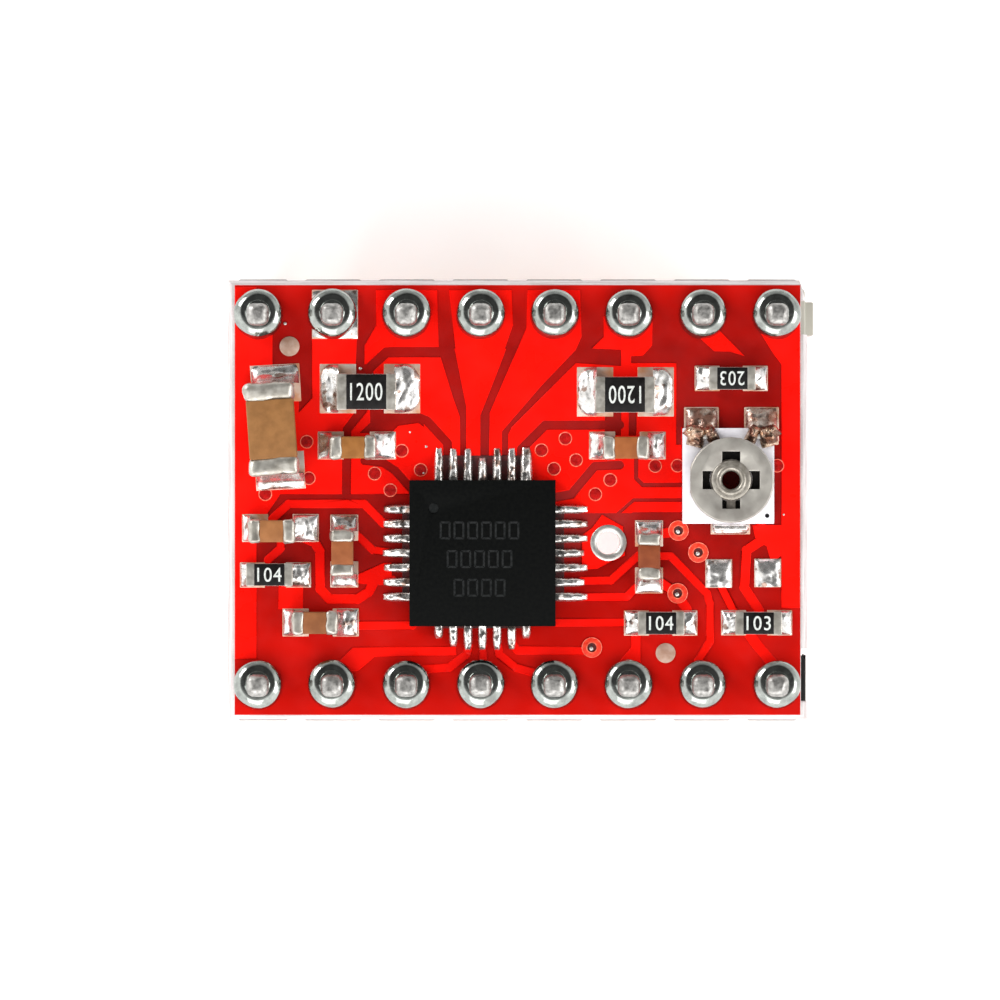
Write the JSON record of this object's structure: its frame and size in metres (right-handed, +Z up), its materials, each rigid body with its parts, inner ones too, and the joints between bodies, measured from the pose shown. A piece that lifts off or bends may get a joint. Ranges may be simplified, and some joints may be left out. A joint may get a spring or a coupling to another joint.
{
  "type": "stepper driver module",
  "caption": "Small stepper motor driver board on two pin headers, with a square driver chip, chip resistors and capacitors, and a screwdriver-turned trimmer that sets the motor current.",
  "frame": {"origin": "middle of the module, on the plane of the pin tips", "axes": "+X along the pin rows towards the trimmer, +Y towards the power row, +Z up out of the board's component side"},
  "size_m": [0.0201, 0.0152, 0.0116],
  "materials": {
    "circuit_board": "glossy red solder mask over copper traces, bare glass fibre at the scored edges",
    "header_plastic": "black moulded plastic, pale where the strip was snapped off",
    "header_pins": "thin gold plating",
    "solder": "bright hand-soldered tin",
    "chip_body": "matt black mould compound",
    "chip_leadframe": "tin-plated copper",
    "chip_silicon": "polished silicon",
    "resistors": "black glaze on a white ceramic, with tinned ends",
    "capacitors": "tan ceramic with tinned ends",
    "trimmer_ceramic": "unglazed white alumina",
    "trimmer_film": "fired black resistive film",
    "trimmer_metal": "satin plated metal"
  },
  "bodies": {
    "board": {"circuit_board": "circuit_board", "power_header_strip": "header_plastic", "logic_header_strip": "header_plastic", "power_pin_1": "header_pins", "power_pin_2": "header_pins", "power_pin_3": "header_pins", "power_pin_4": "header_pins", "power_pin_5": "header_pins", "power_pin_6": "header_pins", "power_pin_7": "header_pins", "power_pin_8": "header_pins", "logic_pin_1": "header_pins", "logic_pin_2": "header_pins", "logic_pin_3": "header_pins", "logic_pin_4": "header_pins", "logic_pin_5": "header_pins", "logic_pin_6": "header_pins", "logic_pin_7": "header_pins", "logic_pin_8": "header_pins", "power_solder_joint_1": "solder", "power_solder_joint_2": "solder", "power_solder_joint_3": "solder", "power_solder_joint_4": "solder", "power_solder_joint_5": "solder", "power_solder_joint_6": "solder", "power_solder_joint_7": "solder", "power_solder_joint_8": "solder", "logic_solder_joint_1": "solder", "logic_solder_joint_2": "solder", "logic_solder_joint_3": "solder", "logic_solder_joint_4": "solder", "logic_solder_joint_5": "solder", "logic_solder_joint_6": "solder", "logic_solder_joint_7": "solder", "logic_solder_joint_8": "solder", "driver_chip_body": "chip_body", "driver_chip_paddle": "chip_leadframe", "driver_chip_die": "chip_silicon", "sense_resistor_left": "resistors", "sense_resistor_right": "resistors", "reference_resistor": "resistors", "sleep_pullup_resistor": "resistors", "enable_pulldown_resistor": "resistors", "oscillator_resistor": "resistors", "bulk_capacitor": "capacitors", "motor_supply_capacitor_left": "capacitors", "motor_supply_capacitor_right": "capacitors", "charge_pump_capacitor": "capacitors", "reservoir_capacitor": "capacitors", "regulator_capacitor": "capacitors", "logic_supply_capacitor": "capacitors", "trimmer_base": "trimmer_ceramic", "trimmer_track": "trimmer_film", "trimmer_end_terminal_left": "trimmer_metal", "trimmer_end_terminal_right": "trimmer_metal", "trimmer_wiper_terminal": "trimmer_metal", "trimmer_eyelet": "trimmer_metal"},
    "rotor": {"trimmer_wiper": "trimmer_metal", "trimmer_rotor": "trimmer_metal"}
  },
  "joints": [
    {"name": "trimmer_turn", "type": "hinge", "parent": "board", "child": "rotor", "pos_m": [0.0073, 0.00068, 0.0113], "axis": [0, 0, 1], "range_deg": [-120, 120]}
  ]
}
